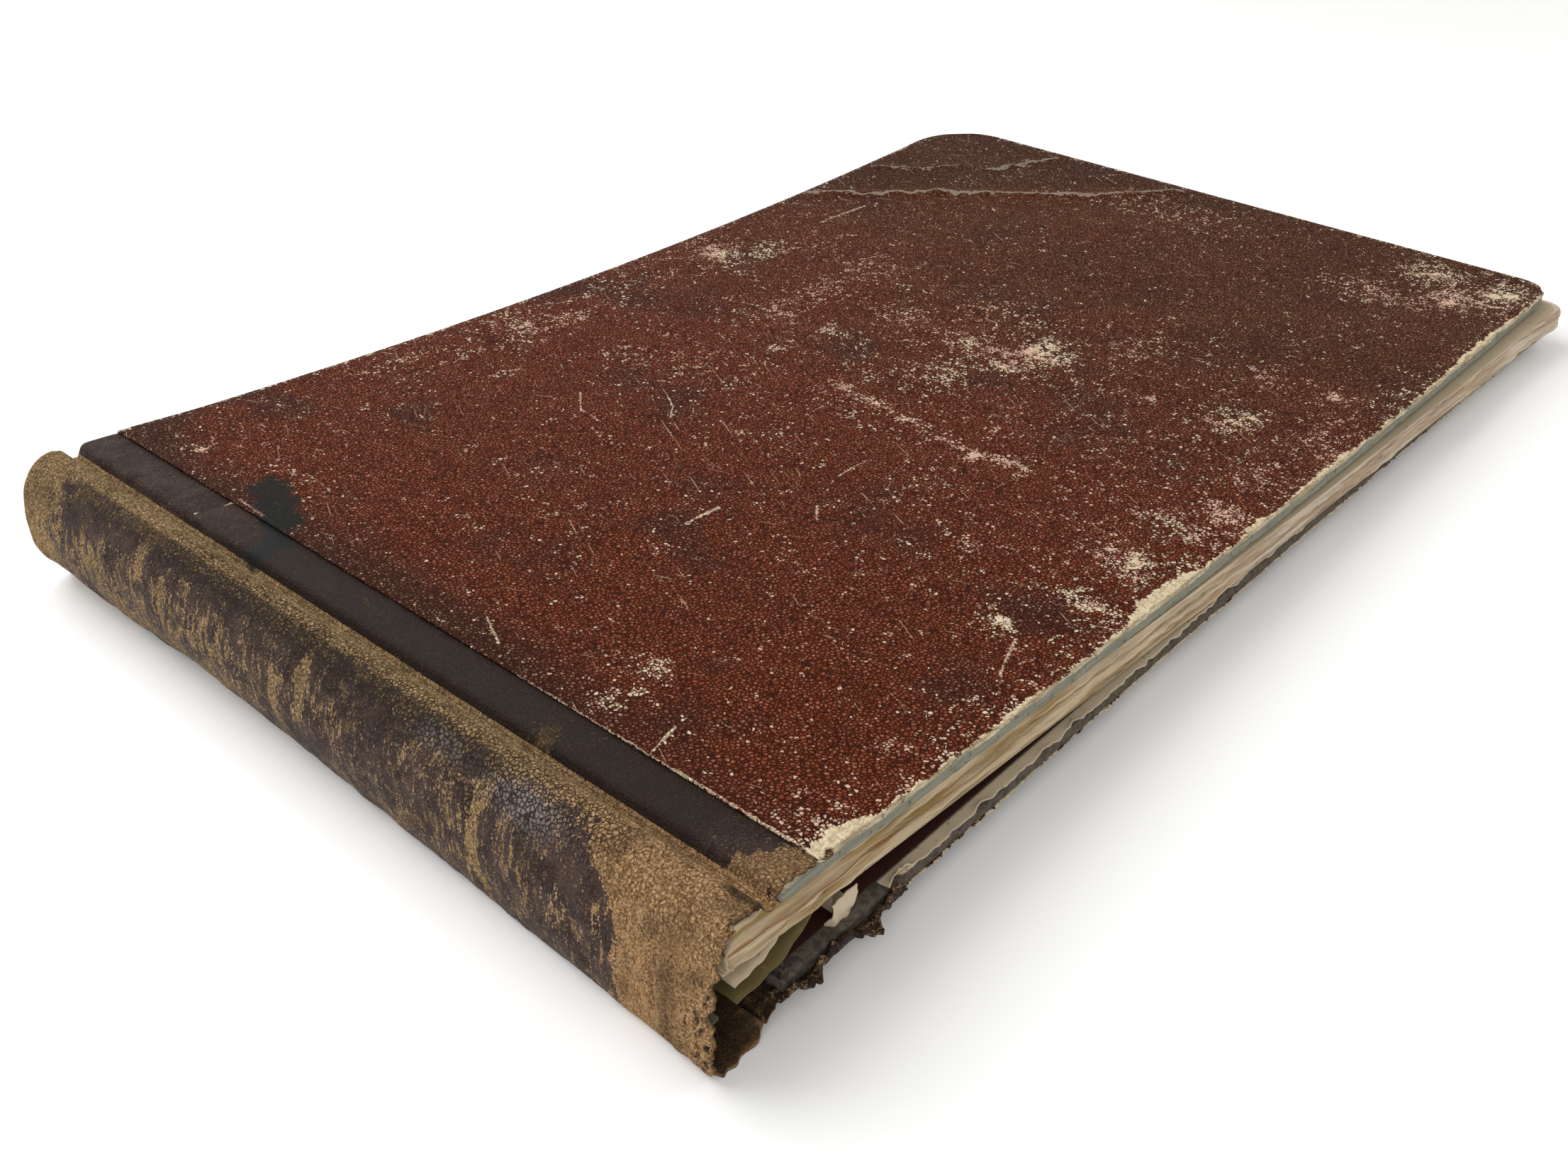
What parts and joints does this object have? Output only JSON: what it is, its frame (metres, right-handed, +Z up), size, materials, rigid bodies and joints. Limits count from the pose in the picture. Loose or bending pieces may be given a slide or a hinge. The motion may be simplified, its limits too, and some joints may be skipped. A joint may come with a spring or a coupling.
{
  "type": "antique ledger book",
  "caption": "Worn oblong quarter leather ledger book lying closed, with a hollow rounded spine, pebbled cloth boards and covers that open.",
  "frame": {"origin": "middle of the book's footprint, on the surface it lies on", "axes": "+X from the spine to the fore-edge, +Y from the tail to the head, +Z up through the closed book"},
  "size_m": [0.377, 0.2318, 0.0337],
  "materials": {
    "millboard": "matt grey millboard, rubbed at its edges",
    "book_cloth": "pebble-grained red-brown cloth, scuffed to its cream backing",
    "binding_leather": "dark brown leather with a dull shine, rubbed to tan suede",
    "endpaper": "matt toned paper",
    "page_edges": "matt, layered leaf edges, browned",
    "sewing_linen": "matt unbleached linen"
  },
  "bodies": {
    "book_block": {"text_block": "page_edges", "front_flyleaf": "endpaper", "rear_flyleaf": "endpaper", "spine_leather": "binding_leather", "spine_stiffener": "millboard", "spine_mull": "sewing_linen", "sewing_thread": "sewing_linen", "sewing_tape_1": "sewing_linen", "sewing_tape_2": "sewing_linen", "sewing_tape_3": "sewing_linen", "sewing_tape_4": "sewing_linen"},
    "upper_cover": {"upper_board": "millboard", "upper_cloth": "book_cloth", "upper_leather": "binding_leather", "upper_pastedown": "endpaper"},
    "lower_cover": {"lower_board": "millboard", "lower_cloth": "book_cloth", "lower_leather": "binding_leather", "lower_pastedown": "endpaper"}
  },
  "joints": [
    {"name": "upper_cover_hinge", "type": "hinge", "parent": "book_block", "child": "upper_cover", "pos_m": [-0.17231, 0.00145, 0.0335], "axis": [0, -1, 0], "range_deg": [0, 180]},
    {"name": "lower_cover_hinge", "type": "hinge", "parent": "book_block", "child": "lower_cover", "pos_m": [-0.17231, 0.00145, 0.0025], "axis": [0, 1, 0], "range_deg": [0, 180]}
  ]
}
